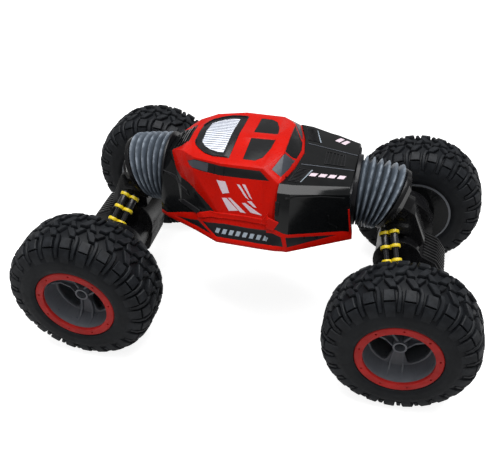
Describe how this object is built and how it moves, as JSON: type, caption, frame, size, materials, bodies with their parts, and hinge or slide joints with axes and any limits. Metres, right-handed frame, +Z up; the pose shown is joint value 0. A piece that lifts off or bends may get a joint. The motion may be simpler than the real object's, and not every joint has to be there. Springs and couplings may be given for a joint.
{
  "type": "rc stunt car",
  "caption": "Toy rock-crawling car with an arched two-ended body, ribbed bellows at both ends and four balloon tyres on three-spoke rims.",
  "frame": {"origin": "on the ground, midway between the axles and on the car's middle plane", "axes": "+X towards the front (hood), +Y towards the left side, +Z up"},
  "size_m": [0.403, 0.259, 0.177],
  "materials": {
    "red_gloss": "glossy",
    "black_gloss": "glossy",
    "black_satin": "satin",
    "window_black": "glossy",
    "window_grey": "satin",
    "white_panel": "satin",
    "sleeve_blue": "satin",
    "board_green": "satin",
    "switch_red": "satin",
    "screw_steel": "satin",
    "tyre_rubber": "matte",
    "rim_grey": "satin",
    "ring_red": "matte",
    "shaft_steel": "satin",
    "brass": "satin",
    "motor_can": "satin",
    "bellows_grey": "satin",
    "ring_yellow": "satin",
    "shock_black": "satin"
  },
  "bodies": {
    "chassis": {"battery_door": "black_satin", "battery_pack": "sleeve_blue", "bellows_front": "bellows_grey", "bellows_rear": "bellows_grey", "belly_screws": "screw_steel", "bulkhead_front": "black_satin", "bulkhead_rear": "black_satin", "cabin_shell": "red_gloss", "fold_drive_front": "black_satin", "fold_drive_rear": "black_satin", "hood_cover": "black_gloss", "louver_panel": "white_panel", "quarter_windows": "window_grey", "rear_fenders": "black_gloss", "rear_window_frame": "black_satin", "receiver_board": "board_green", "side_windows": "window_black", "sill_panels": "black_satin", "sunroof_panels": "window_black", "tub": "black_satin", "windshield": "window_black"},
    "switch": {"power_switch": "switch_red"},
    "axle_front": {"arm_front_left": "black_satin", "arm_front_right": "black_satin", "fold_pin_front": "shaft_steel", "gearbox_front": "black_satin", "knuckle_front": "black_satin", "motor_front_left": "motor_can", "motor_front_right": "motor_can", "shock_rings_front": "ring_yellow", "shocks_front": "shock_black"},
    "axle_rear": {"arm_rear_left": "black_satin", "arm_rear_right": "black_satin", "fold_pin_rear": "shaft_steel", "gearbox_rear": "black_satin", "knuckle_rear": "black_satin", "motor_rear_left": "motor_can", "motor_rear_right": "motor_can", "shock_rings_rear": "ring_yellow", "shocks_rear": "shock_black"},
    "wheel_front_left": {"tyre_front_left": "tyre_rubber", "rim_front_left": "rim_grey", "clamp_ring_front_left": "ring_red", "wheel_shaft_front_left": "shaft_steel"},
    "pinion_front_left": {"pinion_front_left": "brass"},
    "wheel_front_right": {"tyre_front_right": "tyre_rubber", "rim_front_right": "rim_grey", "clamp_ring_front_right": "ring_red", "wheel_shaft_front_right": "shaft_steel"},
    "pinion_front_right": {"pinion_front_right": "brass"},
    "wheel_rear_left": {"tyre_rear_left": "tyre_rubber", "rim_rear_left": "rim_grey", "clamp_ring_rear_left": "ring_red", "wheel_shaft_rear_left": "shaft_steel"},
    "pinion_rear_left": {"pinion_rear_left": "brass"},
    "wheel_rear_right": {"tyre_rear_right": "tyre_rubber", "rim_rear_right": "rim_grey", "clamp_ring_rear_right": "ring_red", "wheel_shaft_rear_right": "shaft_steel"},
    "pinion_rear_right": {"pinion_rear_right": "brass"}
  },
  "joints": [
    {"name": "fold_front", "type": "hinge", "parent": "chassis", "child": "axle_front", "pos_m": [0.103, 0, 0.1335], "axis": [0, -1, 0], "range_deg": [0, 50], "deforming": ["bellows_front"]},
    {"name": "fold_rear", "type": "hinge", "parent": "chassis", "child": "axle_rear", "pos_m": [-0.103, 0, 0.1335], "axis": [0, 1, 0], "range_deg": [0, 50], "deforming": ["bellows_rear"]},
    {"name": "switch_slide", "type": "slide", "parent": "chassis", "child": "switch", "axis": [1, 0, 0], "range_m": [0, 0.004]},
    {"name": "spin_front_left", "type": "hinge", "parent": "axle_front", "child": "wheel_front_left", "pos_m": [0.1365, 0.0997, 0.065], "axis": [0, 1, 0], "continuous": true},
    {"name": "pinion_spin_front_left", "type": "hinge", "parent": "axle_front", "child": "pinion_front_left", "pos_m": [0.1189, 0.055, 0.06902], "axis": [0, 1, 0], "continuous": true},
    {"name": "spin_front_right", "type": "hinge", "parent": "axle_front", "child": "wheel_front_right", "pos_m": [0.1365, -0.0997, 0.065], "axis": [0, 1, 0], "continuous": true},
    {"name": "pinion_spin_front_right", "type": "hinge", "parent": "axle_front", "child": "pinion_front_right", "pos_m": [0.1189, -0.055, 0.06902], "axis": [0, 1, 0], "continuous": true},
    {"name": "spin_rear_left", "type": "hinge", "parent": "axle_rear", "child": "wheel_rear_left", "pos_m": [-0.1365, 0.0997, 0.065], "axis": [0, 1, 0], "continuous": true},
    {"name": "pinion_spin_rear_left", "type": "hinge", "parent": "axle_rear", "child": "pinion_rear_left", "pos_m": [-0.1189, 0.055, 0.06902], "axis": [0, 1, 0], "continuous": true},
    {"name": "spin_rear_right", "type": "hinge", "parent": "axle_rear", "child": "wheel_rear_right", "pos_m": [-0.1365, -0.0997, 0.065], "axis": [0, 1, 0], "continuous": true},
    {"name": "pinion_spin_rear_right", "type": "hinge", "parent": "axle_rear", "child": "pinion_rear_right", "pos_m": [-0.1189, -0.055, 0.06902], "axis": [0, 1, 0], "continuous": true}
  ],
  "couplings": [
    {"joint": "pinion_spin_front_left", "follows": "spin_front_left", "ratio": -3.5},
    {"joint": "pinion_spin_front_right", "follows": "spin_front_right", "ratio": -3.5},
    {"joint": "pinion_spin_rear_left", "follows": "spin_rear_left", "ratio": -3.5},
    {"joint": "pinion_spin_rear_right", "follows": "spin_rear_right", "ratio": -3.5}
  ]
}
